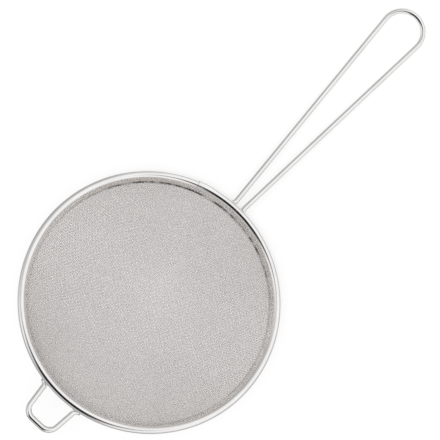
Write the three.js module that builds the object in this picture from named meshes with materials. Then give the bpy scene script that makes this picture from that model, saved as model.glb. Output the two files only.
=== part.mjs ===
// Wire-cloth strainer lying as it does on a table: on the bowl's round bottom and on the flat end of its handle.
// Millimetres, +Z up, +X along the handle, origin where the bowl touches the table.

import * as THREE from 'three';

// Driving dimensions: rim and bowl
const RIM_OUTER_DIAMETER = 180;
const HOOP_WIRE_DIAMETER = 4.2;
const STRIP_THICKNESS = 0.5;
const STRIP_LEG_LENGTH = 4.9;
const CLOTH_THICKNESS = 0.8;
const CLOTH_BORDER = 2;
const WALL_ANGLE = degrees(65);
const OPENINGS_ACROSS = 12;
const BAR_SHARE = 0.21;
const SMALLEST_OPENING_SHARE = 0.1;
const SEAM_ANGLE = degrees(20.5);
const SEAM_WIDTH = 0.6;
const FIT_GAP = 0.3;

// Driving dimensions: handle
const HANDLE_WIRE_DIAMETER = 4.2;
const HANDLE_BEND_DISTANCE = 244;
const HANDLE_END_LENGTH = 37;
const HANDLE_END_BEND_RADIUS = 15;
const HANDLE_LOOP_RADIUS = 14.8;
const HANDLE_ROOT_SPACING = 7.8;
const HANDLE_FOOT_BEND_RADIUS = 5;
const HANDLE_LEFT_FOOT_ANGLE = degrees(19);
const HANDLE_RIGHT_FOOT_ANGLE = degrees(33.5);

// Driving dimensions: rest hook opposite the handle
const HOOK_WIRE_DIAMETER = 4.2;
const HOOK_REACH = 23.7;
const HOOK_ROOT_SPACING = 26;
const HOOK_CROSSBAR_LENGTH = 8.5;
const HOOK_CORNER_RADIUS = 7.5;
const HOOK_FOOT_BEND_RADIUS = 4.5;
const HOOK_FOOT_ANGLE = degrees(12.2);

// Driving dimensions: weld beads
const WELD_RADIUS = 0.9;
const FOOT_WELD_LENGTH = 5;
const HOOK_WELD_LENGTH = 3;
const SEAM_WELD_LENGTH = 2.4;
const WELD_END_MARGIN = degrees(2.5);

// Steel finishes
const CLOTH_STEEL = { color: 0xbeb8b4, roughness: 0.4 };
const STRIP_STEEL = { color: 0xd6d3d0, roughness: 0.2 };
const DRAWN_STEEL = { color: 0xc4c4c2, roughness: 0.35 };
const POLISHED_STEEL = { color: 0xd8d8d4, roughness: 0.15 };
const WELD_STEEL = { color: 0xa9a6a2, roughness: 0.45 };

// Facet counts
const RING_SEGMENTS = 72;
const WIRE_SIDES = 10;
const HOOP_SIDES = 8;
const WELD_SIDES = 8;
const WELD_CAP_RINGS = 2;
const BEAD_STEP = degrees(24);
const FOOT_STEP = degrees(4);
const BEND_STEP = degrees(15);
const END_BEND_STATIONS = 4;

// Rim section: the bead's centre circle, the wall's direction and the two legs of the strip
const hoopRadius = HOOP_WIRE_DIAMETER / 2;
const beadRadius = hoopRadius + FIT_GAP + STRIP_THICKNESS;
const beadCentreRadius = RIM_OUTER_DIAMETER / 2 - beadRadius;
const stripBendRadius = beadRadius - STRIP_THICKNESS / 2;
const legOffset = CLOTH_THICKNESS / 2 + FIT_GAP + STRIP_THICKNESS / 2;
const legOuterFace = legOffset + STRIP_THICKNESS / 2;
const legEnd = beadRadius + STRIP_LEG_LENGTH;

// Bowl: a ball cap that runs on without a corner into the straight wall between the legs
const capEdge = sectionPoint(legEnd, 0);
const capRadius = capEdge.x / Math.sin(WALL_ANGLE);
const capCentreHeight = capEdge.y + capRadius * Math.cos(WALL_ANGLE);
const bowlOuterRadius = capRadius + CLOTH_THICKNESS / 2;
const bowlInnerRadius = capRadius - CLOTH_THICKNESS / 2;
const halfSegment = Math.PI / RING_SEGMENTS;

// Openings: a plain square grid, drawn on the unrolled cap inside a round border, stands in for the weave's holes
const capArc = capRadius * WALL_ANGLE;
const gridReach = capArc - CLOTH_BORDER;
const gridPitch = (2 * gridReach) / (OPENINGS_ACROSS - BAR_SHARE);
const barWidth = gridPitch * BAR_SHARE;
const openingSide = gridPitch - barWidth;

// Resting tilt: the table touches the bowl and the underside of the handle's bent-up end
const handleFoot = footCentre(HANDLE_WIRE_DIAMETER / 2);
const handleFlat = (HANDLE_WIRE_DIAMETER / 2) * Math.cos(Math.PI / WIRE_SIDES);
const ballOverHandle = capCentreHeight - handleFoot.z;
const ballToBend = Math.hypot(HANDLE_BEND_DISTANCE, ballOverHandle);
const restTilt = Math.asin((bowlOuterRadius - handleFlat) / ballToBend)
  - Math.atan2(ballOverHandle, HANDLE_BEND_DISTANCE);

function degrees(value) {
  return THREE.MathUtils.degToRad(value);
}

// A point of the rim's section: "along" runs from the bead's centre down the wall, "outward" square to the wall.
function sectionPoint(along, outward) {
  const radius = beadCentreRadius - along * Math.cos(WALL_ANGLE) + outward * Math.sin(WALL_ANGLE);
  const height = -along * Math.sin(WALL_ANGLE) - outward * Math.cos(WALL_ANGLE);
  return new THREE.Vector2(radius, height);
}

// Where a wire lies in the corner between the bead and the strip's outer leg.
function footCentre(wireRadius) {
  const outward = legOuterFace + FIT_GAP + wireRadius;
  const along = Math.sqrt((beadRadius + FIT_GAP + wireRadius) ** 2 - outward ** 2);
  const point = sectionPoint(along, outward);
  return { along, outward, radius: point.x, z: point.y };
}

function arcPoints(centre, radius, start, end, step) {
  const count = Math.max(2, Math.ceil(Math.abs(end - start) / step));
  const points = [];
  for (let i = 0; i <= count; i += 1) {
    const angle = start + ((end - start) * i) / count;
    points.push(new THREE.Vector2(centre.x + radius * Math.cos(angle), centre.y + radius * Math.sin(angle)));
  }
  return points;
}

// A path whose sections stand exactly at the given stations.
class StationPath extends THREE.Curve {
  constructor(stations) {
    super();
    this.stations = stations;
  }

  getPoint(t, target = new THREE.Vector3()) {
    const last = this.stations.length - 1;
    const place = t * last;
    const index = Math.min(Math.floor(place), last - 1);
    return target.lerpVectors(this.stations[index], this.stations[index + 1], place - index);
  }

  getUtoTmapping(u) {
    return u;
  }
}

function sweep(outline, stations) {
  return new THREE.ExtrudeGeometry(new THREE.Shape(outline), {
    steps: stations.length - 1,
    extrudePath: new StationPath(stations),
    bevelEnabled: false,
  });
}

// A wire's round section as a regular polygon with flats above and below.
function wireOutline(wireRadius) {
  const outline = [];
  for (let i = 0; i < WIRE_SIDES; i += 1) {
    const angle = ((i + 0.5) * 2 * Math.PI) / WIRE_SIDES;
    outline.push(new THREE.Vector2(wireRadius * Math.cos(angle), wireRadius * Math.sin(angle)));
  }
  return outline;
}

// The strip's folded section: down the outside, round the hoop wire and down the inside of the cloth.
function stripOutline() {
  const fold = Math.asin(legOffset / stripBendRadius);
  const bead = arcPoints(new THREE.Vector2(0, 0), stripBendRadius, fold, 2 * Math.PI - fold, BEAD_STEP);
  const centreline = [new THREE.Vector2(legEnd, legOffset), ...bead, new THREE.Vector2(legEnd, -legOffset)];
  const halfThickness = STRIP_THICKNESS / 2;
  return [...offsetLine(centreline, halfThickness), ...offsetLine(centreline, -halfThickness).reverse()];
}

// A line moved sideways by a distance, with mitred corners.
function offsetLine(points, distance) {
  return points.map((point, i) => {
    const before = points[Math.max(i - 1, 0)];
    const after = points[Math.min(i + 1, points.length - 1)];
    const into = i > 0 ? point.clone().sub(before).normalize() : after.clone().sub(point).normalize();
    const out = i < points.length - 1 ? after.clone().sub(point).normalize() : into.clone();
    const middle = into.clone().add(out).normalize();
    const side = new THREE.Vector2(-middle.y, middle.x);
    return point.clone().addScaledVector(side, distance / middle.dot(into));
  });
}

// Half of a bent wire seen from above: its foot along the rim, the bend outwards, the leg, and the corner at its end.
function halfWirePlan({ footRadius, footAngle, bendRadius, rootSpacing, cornerCentre, cornerRadius }) {
  const root = new THREE.Vector2(footRadius + bendRadius, rootSpacing / 2);
  const toCorner = cornerCentre.clone().sub(root);
  const legAngle = Math.atan2(toCorner.y, toCorner.x) + Math.asin(cornerRadius / toCorner.length());
  const legDirection = new THREE.Vector2(Math.cos(legAngle), Math.sin(legAngle));
  const legSide = new THREE.Vector2(-legDirection.y, legDirection.x);
  const bendLine = root.clone().addScaledVector(legSide, bendRadius);
  const alongLine = bendLine.dot(legDirection);
  const reach = footRadius + bendRadius;
  const slide = Math.sqrt(alongLine ** 2 - bendLine.lengthSq() + reach ** 2) - alongLine;
  const bendCentre = bendLine.addScaledVector(legDirection, slide);
  const footStart = Math.atan2(bendCentre.y, bendCentre.x);
  const axis = new THREE.Vector2(0, 0);
  return {
    foot: arcPoints(axis, footRadius, footAngle, footStart, FOOT_STEP),
    bend: arcPoints(bendCentre, bendRadius, footStart + Math.PI, legAngle + 1.5 * Math.PI, BEND_STEP),
    corner: arcPoints(cornerCentre, cornerRadius, legAngle + Math.PI / 2, 0, BEND_STEP),
  };
}

function mirrored(points) {
  return points.map((point) => new THREE.Vector2(point.x, -point.y)).reverse();
}

// Triangles of a solid that no ready-made geometry gives.
class Facets {
  corners = [];

  addTriangle(a, b, c) {
    this.corners.push(a, b, c);
  }

  addQuad(a, b, c, d) {
    this.addTriangle(a, b, c);
    this.addTriangle(a, c, d);
  }

  geometry() {
    const geometry = new THREE.BufferGeometry().setFromPoints(this.corners);
    geometry.computeVertexNormals();
    return geometry;
  }
}

// The square grid on the unrolled cap. Its lines are the two edges of each bar, with one line beyond the border on
// either side, so a field between neighbouring lines is an opening, a piece of a bar or a crossing of two bars.
class OpeningGrid {
  lines = [-2 * gridReach];

  constructor() {
    for (let bar = 1; bar < OPENINGS_ACROSS; bar += 1) {
      const middle = (bar - OPENINGS_ACROSS / 2) * gridPitch;
      this.lines.push(middle - barWidth / 2, middle + barWidth / 2);
    }
    this.lines.push(2 * gridReach);
  }

  fields() {
    const places = [...this.lines.keys()].slice(0, -1);
    return places.flatMap((column) => places.map((row) => ({ column, row })));
  }

  isOpening(field) {
    const betweenBars = field.column % 2 === 0 && field.row % 2 === 0;
    const area = THREE.ShapeUtils.area(this.outline(field));
    return betweenBars && area > SMALLEST_OPENING_SHARE * openingSide ** 2;
  }

  // A field's corners, counter-clockwise from the lower left.
  corners({ column, row }) {
    const [left, right] = [this.lines[column], this.lines[column + 1]];
    const [low, high] = [this.lines[row], this.lines[row + 1]];
    return [[left, low], [right, low], [right, high], [left, high]].map(([x, y]) => new THREE.Vector2(x, y));
  }

  // The part of a field that lies inside the border.
  outline(field) {
    const corners = this.corners(field);
    return corners.flatMap((from, i) => {
      const to = corners[(i + 1) % corners.length];
      const crossings = lineCrossings(from.x === to.x ? 'x' : 'y', from.x === to.x ? from.x : from.y);
      const onSide = crossings.filter((point) => point.clone().sub(from).dot(point.clone().sub(to)) < 0);
      onSide.sort((a, b) => a.distanceTo(from) - b.distanceTo(from));
      return from.length() < gridReach ? [from, ...onSide] : onSide;
    });
  }

  // All points where the grid's lines meet the border, once round.
  border() {
    const points = this.lines.flatMap((line) => [...lineCrossings('x', line), ...lineCrossings('y', line)]);
    return points.sort((a, b) => a.angle() - b.angle());
  }

  // The piece of the middle bar that the table touches.
  restField() {
    const touch = capRadius * restTilt;
    return { column: this.lines.findLastIndex((line) => line <= touch), row: OPENINGS_ACROSS - 1 };
  }
}

// The two points where a grid line, at one value of x or y, meets the border.
function lineCrossings(axis, value) {
  if (Math.abs(value) >= gridReach) {
    return [];
  }
  const reach = Math.sqrt(gridReach ** 2 - value ** 2);
  return [-reach, reach].map((place) => (
    axis === 'x' ? new THREE.Vector2(value, place) : new THREE.Vector2(place, value)
  ));
}

// Triangles between two rings of points that both run once round the middle, the first ring inside the second.
function trianglesBetween(inside, outside) {
  const triangles = [];
  const angleAt = (ring, i) => ring[i % ring.length].angle() + (i < ring.length ? 0 : 2 * Math.PI);
  let i = 0;
  let j = 0;
  while (i < inside.length || j < outside.length) {
    const base = [inside[i % inside.length], outside[j % outside.length]];
    const innerIsNext = angleAt(inside, i + 1) < angleAt(outside, j + 1);
    if (j === outside.length || (i < inside.length && innerIsNext)) {
      i += 1;
      triangles.push([...base, inside[i % inside.length]]);
    } else {
      j += 1;
      triangles.push([...base, outside[j % outside.length]]);
    }
  }
  return triangles;
}

// The direction from the ball's centre to a point of the unrolled cap.
function capDirection(plan) {
  const slope = plan.length() / capRadius;
  const turn = plan.angle();
  return new THREE.Vector3(Math.sin(slope) * Math.cos(turn), Math.sin(slope) * Math.sin(turn), -Math.cos(slope));
}

function makeCloth() {
  const grid = new OpeningGrid();
  const facets = new Facets();
  const table = new THREE.Vector3(Math.sin(restTilt), 0, -Math.cos(restTilt));
  const restCorners = grid.corners(grid.restField());
  const ballCentre = new THREE.Vector3(0, 0, capCentreHeight);
  const inner = (plan) => capDirection(plan).multiplyScalar(bowlInnerRadius).add(ballCentre);
  const outer = (plan) => {
    const direction = capDirection(plan);
    const onTable = restCorners.some((corner) => corner.equals(plan));
    return direction.multiplyScalar(bowlOuterRadius / (onTable ? direction.dot(table) : 1)).add(ballCentre);
  };
  const addSheet = (a, b, c) => {
    facets.addTriangle(inner(a), inner(b), inner(c));
    facets.addTriangle(outer(a), outer(c), outer(b));
  };

  for (const field of grid.fields()) {
    const outline = grid.outline(field);
    if (grid.isOpening(field)) {
      outline.forEach((from, i) => {
        const to = outline[(i + 1) % outline.length];
        facets.addQuad(outer(to), outer(from), inner(from), inner(to));
      });
    } else {
      outline.slice(2).forEach((corner, i) => addSheet(outline[0], outline[i + 1], corner));
    }
  }

  const ring = [];
  for (let i = 0; i < RING_SEGMENTS; i += 1) {
    ring.push(new THREE.Vector2(capArc, 0).rotateAround(new THREE.Vector2(0, 0), (2 * i + 1) * halfSegment));
  }
  trianglesBetween(grid.border(), ring).forEach((triangle) => addSheet(...triangle));

  const wallTop = (plan, outward) => {
    const top = sectionPoint(hoopRadius + FIT_GAP, outward);
    const heading = plan.clone().normalize().multiplyScalar(top.x);
    return new THREE.Vector3(heading.x, heading.y, top.y);
  };
  ring.forEach((from, i) => {
    const to = ring[(i + 1) % ring.length];
    const outerTop = [from, to].map((plan) => wallTop(plan, CLOTH_THICKNESS / 2));
    const innerTop = [from, to].map((plan) => wallTop(plan, -CLOTH_THICKNESS / 2));
    facets.addQuad(outer(from), outer(to), outerTop[1], outerTop[0]);
    facets.addQuad(outerTop[0], outerTop[1], innerTop[1], innerTop[0]);
    facets.addQuad(innerTop[0], innerTop[1], inner(to), inner(from));
  });
  return facets.geometry();
}

function makeRimBand() {
  const halfSeam = SEAM_WIDTH / 2 / beadCentreRadius;
  const turn = arcPoints(
    new THREE.Vector2(0, 0), beadCentreRadius, SEAM_ANGLE + halfSeam, SEAM_ANGLE + 2 * Math.PI - halfSeam,
    2 * halfSegment,
  );
  const stations = turn.map((point) => new THREE.Vector3(point.x, point.y, 0));
  const outline = stripOutline().map((point) => {
    const place = sectionPoint(point.x, point.y);
    return new THREE.Vector2(-place.y, beadCentreRadius - place.x);
  });
  return sweep(outline, stations);
}

function makeHoop() {
  return new THREE.TorusGeometry(beadCentreRadius, hoopRadius, HOOP_SIDES, RING_SEGMENTS);
}

// The handle's side view: level with the rim as far as the bend, then turned up by the resting tilt.
function bendHandleEnd(point) {
  const tangent = HANDLE_END_BEND_RADIUS * Math.tan(restTilt / 2);
  const start = HANDLE_BEND_DISTANCE - tangent;
  const past = point.x - start;
  const turned = THREE.MathUtils.clamp(past / HANDLE_END_BEND_RADIUS, 0, restTilt);
  const straight = Math.max(past - HANDLE_END_BEND_RADIUS * restTilt, 0);
  const x = Math.min(point.x, start) + HANDLE_END_BEND_RADIUS * Math.sin(turned) + straight * Math.cos(turned);
  const rise = HANDLE_END_BEND_RADIUS * (1 - Math.cos(turned)) + straight * Math.sin(turned);
  return new THREE.Vector3(x, point.y, handleFoot.z + rise);
}

function handleHalf(footAngle) {
  const wireRadius = HANDLE_WIRE_DIAMETER / 2;
  const endReach = HANDLE_BEND_DISTANCE + HANDLE_END_LENGTH - wireRadius;
  const plan = halfWirePlan({
    footRadius: handleFoot.radius,
    footAngle,
    bendRadius: HANDLE_FOOT_BEND_RADIUS,
    rootSpacing: HANDLE_ROOT_SPACING,
    cornerCentre: new THREE.Vector2(endReach - HANDLE_LOOP_RADIUS, 0),
    cornerRadius: HANDLE_LOOP_RADIUS,
  });
  const legStart = plan.bend[plan.bend.length - 1];
  const legStop = plan.corner[0];
  const bendStart = HANDLE_BEND_DISTANCE - HANDLE_END_BEND_RADIUS * Math.tan(restTilt / 2);
  const bendStations = [];
  for (let i = 0; i <= END_BEND_STATIONS; i += 1) {
    const x = bendStart + (HANDLE_END_BEND_RADIUS * restTilt * i) / END_BEND_STATIONS;
    bendStations.push(legStart.clone().lerp(legStop, (x - legStart.x) / (legStop.x - legStart.x)));
  }
  return [...plan.foot, ...plan.bend.slice(1), ...bendStations, ...plan.corner];
}

function makeHandle() {
  const left = handleHalf(HANDLE_LEFT_FOOT_ANGLE);
  const right = mirrored(handleHalf(HANDLE_RIGHT_FOOT_ANGLE)).slice(1);
  return sweep(wireOutline(HANDLE_WIRE_DIAMETER / 2), [...left, ...right].map(bendHandleEnd));
}

function makeHook() {
  const wireRadius = HOOK_WIRE_DIAMETER / 2;
  const foot = footCentre(wireRadius);
  const cornerX = RIM_OUTER_DIAMETER / 2 + HOOK_REACH - wireRadius - HOOK_CORNER_RADIUS;
  const plan = halfWirePlan({
    footRadius: foot.radius,
    footAngle: HOOK_FOOT_ANGLE,
    bendRadius: HOOK_FOOT_BEND_RADIUS,
    rootSpacing: HOOK_ROOT_SPACING,
    cornerCentre: new THREE.Vector2(cornerX, HOOK_CROSSBAR_LENGTH / 2),
    cornerRadius: HOOK_CORNER_RADIUS,
  });
  const half = [...plan.foot, ...plan.bend.slice(1), ...plan.corner];
  const stations = [...half, ...mirrored(half)].map((point) => new THREE.Vector3(point.x, point.y, foot.z));
  return sweep(wireOutline(wireRadius), stations);
}

// A weld bead lies below a foot, in the groove between the foot and the strip's outer leg.
function footWeldPlace(wireRadius) {
  const foot = footCentre(wireRadius);
  const outward = legOuterFace + FIT_GAP + WELD_RADIUS;
  const reach = wireRadius + FIT_GAP + WELD_RADIUS;
  const along = foot.along + Math.sqrt(reach ** 2 - (foot.outward - outward) ** 2);
  return sectionPoint(along, outward);
}

function makeWeld(length) {
  return new THREE.CapsuleGeometry(WELD_RADIUS, length, WELD_CAP_RINGS, WELD_SIDES, 1);
}

function steel(finish) {
  return new THREE.MeshStandardMaterial({ ...finish, metalness: 1 });
}

const strainer = new THREE.Group();
strainer.rotation.y = restTilt;
strainer.position.set(
  -capCentreHeight * Math.sin(restTilt), 0, bowlOuterRadius - capCentreHeight * Math.cos(restTilt),
);

function addPiece(name, geometry, material) {
  const piece = new THREE.Mesh(geometry, material);
  piece.name = name;
  strainer.add(piece);
  return piece;
}

function addFootWeld(name, wireRadius, length, angle) {
  const place = footWeldPlace(wireRadius);
  const weld = addPiece(name, makeWeld(length), steel(WELD_STEEL));
  weld.position.set(place.x * Math.cos(angle), place.x * Math.sin(angle), place.y);
  weld.rotation.z = angle;
}

addPiece('mesh_bowl', makeCloth(), steel(CLOTH_STEEL));
addPiece('rim_band', makeRimBand(), steel(STRIP_STEEL));
addPiece('rim_hoop_wire', makeHoop(), steel(DRAWN_STEEL));
addPiece('handle_wire', makeHandle(), steel(POLISHED_STEEL));
addPiece('rest_hook_wire', makeHook(), steel(POLISHED_STEEL)).rotation.z = Math.PI;

// Two welds under each handle foot: one close to the leg's bend and one near the foot's cut end
const handleBendAngle = Math.atan2(HANDLE_ROOT_SPACING / 2 + HANDLE_FOOT_BEND_RADIUS, handleFoot.radius);
const handleRadius = HANDLE_WIRE_DIAMETER / 2;
for (const [side, sign, footAngle] of [['left', 1, HANDLE_LEFT_FOOT_ANGLE], ['right', -1, HANDLE_RIGHT_FOOT_ANGLE]]) {
  const inner = sign * (handleBendAngle + WELD_END_MARGIN);
  const outer = sign * (footAngle - WELD_END_MARGIN);
  addFootWeld(`handle_weld_${side}_inner`, handleRadius, FOOT_WELD_LENGTH, inner);
  addFootWeld(`handle_weld_${side}_outer`, handleRadius, FOOT_WELD_LENGTH, outer);
}

// One short weld under each foot of the hook, near its cut end
for (const [side, sign] of [['left', -1], ['right', 1]]) {
  const angle = Math.PI + sign * (HOOK_FOOT_ANGLE - WELD_END_MARGIN / 2);
  addFootWeld(`hook_weld_${side}`, HOOK_WIRE_DIAMETER / 2, HOOK_WELD_LENGTH, angle);
}

// The weld that closes the strip's seam runs down the middle of its outer leg
const seamPlace = sectionPoint(beadRadius + STRIP_LEG_LENGTH / 2, legOuterFace + FIT_GAP + WELD_RADIUS);
const seamWeld = addPiece('seam_weld', makeWeld(SEAM_WELD_LENGTH), steel(WELD_STEEL));
seamWeld.position.set(seamPlace.x * Math.cos(SEAM_ANGLE), seamPlace.x * Math.sin(SEAM_ANGLE), seamPlace.y);
seamWeld.rotation.set(Math.PI / 2, 0, SEAM_ANGLE + Math.PI / 2 - WALL_ANGLE, 'ZXY');

export default strainer;
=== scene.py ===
"""A wire-cloth strainer lying on a pale table, seen from straight above.

The cloth is modelled wire by wire. The rim strip, the handle, the rest hook and the weld beads are shaped in
the bowl's own frame, where +Z is the bowl's axis, z = 0 is the middle of the rim's bead and +X points to the
handle. Each piece is then tilted and moved to the place where the strainer rests on the table.
"""

import logging
import math
from collections.abc import Callable, Sequence
from dataclasses import dataclass, field, replace
from enum import Enum
from functools import partial, reduce

import bmesh
import bpy
import numpy as np
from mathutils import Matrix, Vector


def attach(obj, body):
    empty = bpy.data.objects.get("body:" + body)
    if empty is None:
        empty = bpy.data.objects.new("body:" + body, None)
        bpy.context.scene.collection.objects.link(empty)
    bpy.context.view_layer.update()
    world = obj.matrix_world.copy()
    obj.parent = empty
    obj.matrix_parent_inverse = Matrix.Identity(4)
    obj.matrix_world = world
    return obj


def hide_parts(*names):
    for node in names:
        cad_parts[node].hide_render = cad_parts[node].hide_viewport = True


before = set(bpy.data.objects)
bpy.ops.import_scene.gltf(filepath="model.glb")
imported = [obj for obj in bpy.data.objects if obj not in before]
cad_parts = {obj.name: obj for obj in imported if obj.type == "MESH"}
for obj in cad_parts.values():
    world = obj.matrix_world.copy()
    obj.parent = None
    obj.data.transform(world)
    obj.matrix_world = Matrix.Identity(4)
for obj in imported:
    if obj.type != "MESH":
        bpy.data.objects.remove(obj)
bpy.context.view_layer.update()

LOG = logging.getLogger("strainer")
BODY = "root"
MM = 0.001
TINY = 1e-6
PHOTO_PIXELS = 440

Colour = tuple[float, float, float]
Inputs = dict[str | int, object]
WHITE = (1.0, 1.0, 1.0, 1.0)
BLACK = (0.0, 0.0, 0.0, 1.0)


class Slot(Enum):
    """The record's material slots."""

    WIRE_CLOTH = "wire_cloth"
    RIM_STRIP = "rim_strip"
    DRAWN_WIRE = "drawn_wire"
    POLISHED_WIRE = "polished_wire"
    WELD_METAL = "weld_metal"


class Family(Enum):
    """The two sets of wires in the cloth."""

    WARP = "warp"
    WEFT = "weft"


class Lines(Enum):
    """Which way the fine lines of a steel surface run."""

    AROUND_RIM = "around_rim"
    ALONG_WIRE = "along_wire"
    NONE = "none"


@dataclass(frozen=True)
class RimProfile:
    """The rim's cross-section and the ball cap that runs on from it, in metres."""

    outer_diameter: float = 180 * MM
    hoop_diameter: float = 4.2 * MM
    strip_thickness: float = 0.5 * MM
    leg_length: float = 4.9 * MM
    cloth_thickness: float = 0.8 * MM
    fit_gap: float = 0.3 * MM
    wall_angle: float = math.radians(65)

    @property
    def bead_radius(self) -> float:
        """Outer radius of the rolled bead."""
        return self.hoop_diameter / 2 + self.fit_gap + self.strip_thickness

    @property
    def bead_centre_radius(self) -> float:
        """Distance of the bead's middle from the bowl's axis."""
        return self.outer_diameter / 2 - self.bead_radius

    @property
    def leg_offset(self) -> float:
        """Distance of a leg's middle from the middle of the cloth."""
        return self.cloth_thickness / 2 + self.fit_gap + self.strip_thickness / 2

    @property
    def leg_end(self) -> float:
        """How far down the wall the strip's legs reach."""
        return self.bead_radius + self.leg_length

    @property
    def cap_radius(self) -> float:
        """Radius of the ball that the cloth is pressed to."""
        return self.point(self.leg_end, 0)[0] / math.sin(self.wall_angle)

    @property
    def cap_centre_height(self) -> float:
        """Height of that ball's centre over the bead's middle."""
        return self.point(self.leg_end, 0)[1] + self.cap_radius * math.cos(self.wall_angle)

    def point(self, along: float, outward: float) -> tuple[float, float]:
        """Places a point of the rim's section.

        Args:
            along: Distance from the bead's middle down the wall.
            outward: Distance from the cloth's middle, square to the wall.

        Returns:
            The point's distance from the bowl's axis and its height.
        """
        cos, sin = math.cos(self.wall_angle), math.sin(self.wall_angle)
        radius = self.bead_centre_radius - along * cos + outward * sin
        return radius, -along * sin - outward * cos

    def place(self, azimuth: float, along: float, outward: float) -> Vector:
        """Places a point of the rim's section at an angle around the bowl's axis.

        Args:
            azimuth: The angle around the axis.
            along: Distance from the bead's middle down the wall.
            outward: Distance from the cloth's middle, square to the wall.

        Returns:
            The point in the bowl's frame.
        """
        radius, height = self.point(along, outward)
        return Vector((radius * math.cos(azimuth), radius * math.sin(azimuth), height))

    def groove(self, wire_radius: float) -> tuple[float, float]:
        """Finds where a wire lies in the corner between the bead and the outer leg.

        Args:
            wire_radius: The wire's radius.

        Returns:
            How far along and how far outward the wire's middle lies.
        """
        outward = self.leg_offset + self.strip_thickness / 2 + self.fit_gap + wire_radius
        reach = self.bead_radius + self.fit_gap + wire_radius
        return math.sqrt(reach**2 - outward**2), outward


@dataclass(frozen=True)
class RestPose:
    """How the strainer lies: on its bowl and on the turned-up end of its handle."""

    profile: RimProfile
    handle_diameter: float = 4.2 * MM
    bend_distance: float = 244 * MM
    wire_sides: int = 10

    @property
    def handle_height(self) -> float:
        """Height of the handle's wire in the bowl's frame."""
        return self.profile.point(*self.profile.groove(self.handle_diameter / 2))[1]

    @property
    def ball_radius(self) -> float:
        """Radius of the bowl's outside."""
        return self.profile.cap_radius + self.profile.cloth_thickness / 2

    @property
    def tilt(self) -> float:
        """Finds how far the rim tilts when the bowl and the handle's end both touch the table.

        Returns:
            The angle between the rim and the table.
        """
        drop = self.profile.cap_centre_height - self.handle_height
        flat = self.handle_diameter / 2 * math.cos(math.pi / self.wire_sides)
        to_bend = math.hypot(self.bend_distance, drop)
        return math.asin((self.ball_radius - flat) / to_bend) - math.atan2(drop, self.bend_distance)

    @property
    def offset(self) -> Vector:
        """Where the middle of the rim lies over the table."""
        centre = self.profile.cap_centre_height
        return Vector((-centre * math.sin(self.tilt), 0, self.ball_radius - centre * math.cos(self.tilt)))

    def lay_down(self, piece: bpy.types.Object) -> None:
        """Tilts and moves a finished piece to its place on the table.

        Args:
            piece: A mesh that was shaped in the bowl's frame.
        """
        Bench.pick(piece)
        piece.rotation_euler = (0, self.tilt, 0)
        piece.location = self.offset
        bpy.ops.object.transform_apply(location=True, rotation=True, scale=True)


class Bench:
    """The modelling steps that several pieces share."""

    @staticmethod
    def pick(piece: bpy.types.Object) -> None:
        """Selects one object alone and makes it active.

        Args:
            piece: The object.
        """
        bpy.ops.object.select_all(action="DESELECT")
        piece.select_set(True)
        bpy.context.view_layer.objects.active = piece

    @staticmethod
    def start_ring(
        name: str, radius: float, sides: int, centre: Vector, turn: Sequence[float], fill: str = "NOTHING"
    ) -> bpy.types.Object:
        """Adds a round section, open in edit mode.

        Args:
            name: The piece's name.
            radius: The section's radius.
            sides: Number of its corners.
            centre: Its middle.
            turn: How it is turned, as Euler angles.
            fill: What closes it.

        Returns:
            The new object, with its section selected.
        """
        bpy.ops.object.select_all(action="DESELECT")
        bpy.ops.mesh.primitive_circle_add(
            vertices=sides, radius=radius, location=centre, rotation=turn, fill_type=fill
        )
        piece = bpy.context.object
        piece.name = name
        piece.data.name = name
        bpy.ops.object.transform_apply(location=True, rotation=True, scale=True)
        bpy.ops.object.mode_set(mode="EDIT")
        bpy.ops.mesh.select_all(action="SELECT")
        return piece

    @staticmethod
    def spin(angle: float, centre: Vector, steps: int) -> None:
        """Sweeps the selected section round an upright line; without a window it would turn clockwise."""
        bpy.ops.mesh.spin(steps=steps, angle=-angle, center=centre, axis=(0, 0, 1))

    @staticmethod
    def extrude(vector: Vector) -> None:
        """Draws the selected section out along a straight line."""
        bpy.ops.mesh.extrude_region_move(TRANSFORM_OT_translate={"value": vector})

    @staticmethod
    def select_where(piece: bpy.types.Object, test: Callable[[Vector], bool]) -> None:
        """Selects the vertices of a mesh in edit mode that pass a test of their place.

        Args:
            piece: The object in edit mode.
            test: Takes a vertex's coordinates and returns whether it is selected.
        """
        bpy.ops.mesh.select_mode(type="VERT")
        bpy.ops.mesh.select_all(action="DESELECT")
        shape = bmesh.from_edit_mesh(piece.data)
        for vertex in shape.verts:
            vertex.select_set(test(vertex.co))
        shape.select_flush(True)
        bmesh.update_edit_mesh(piece.data)

    @staticmethod
    def close_ends(piece: bpy.types.Object, edge_round: float, sides: int) -> None:
        """Closes a swept wire's two cut ends, rounds their edges and turns the faces outwards.

        Args:
            piece: The object in edit mode.
            edge_round: Width of the rounded edge.
            sides: Number of corners of the wire's section.
        """
        bpy.ops.mesh.select_all(action="SELECT")
        bpy.ops.mesh.fill_holes(sides=0)
        bpy.ops.mesh.select_mode(type="FACE")
        bpy.ops.mesh.select_all(action="DESELECT")
        shape = bmesh.from_edit_mesh(piece.data)
        for face in shape.faces:
            face.select_set(len(face.verts) == sides)
        bmesh.update_edit_mesh(piece.data)
        bpy.ops.mesh.bevel(offset=edge_round, segments=3, affect="EDGES")
        bpy.ops.mesh.select_all(action="SELECT")
        bpy.ops.mesh.normals_make_consistent(inside=False)

    @staticmethod
    def leave_edit(piece: bpy.types.Object, crease: float) -> None:
        """Ends edit mode and smooths all faces but those that meet at a sharp angle.

        Args:
            piece: The object in edit mode.
            crease: Angle above which an edge stays sharp.
        """
        bpy.ops.object.mode_set(mode="OBJECT")
        Bench.pick(piece)
        bpy.ops.object.shade_smooth_by_angle(angle=crease)

    @staticmethod
    def apply(piece: bpy.types.Object, modifier: bpy.types.Modifier) -> None:
        """Applies one modifier to its piece."""
        Bench.pick(piece)
        bpy.ops.object.modifier_apply(modifier=modifier.name)


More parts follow.
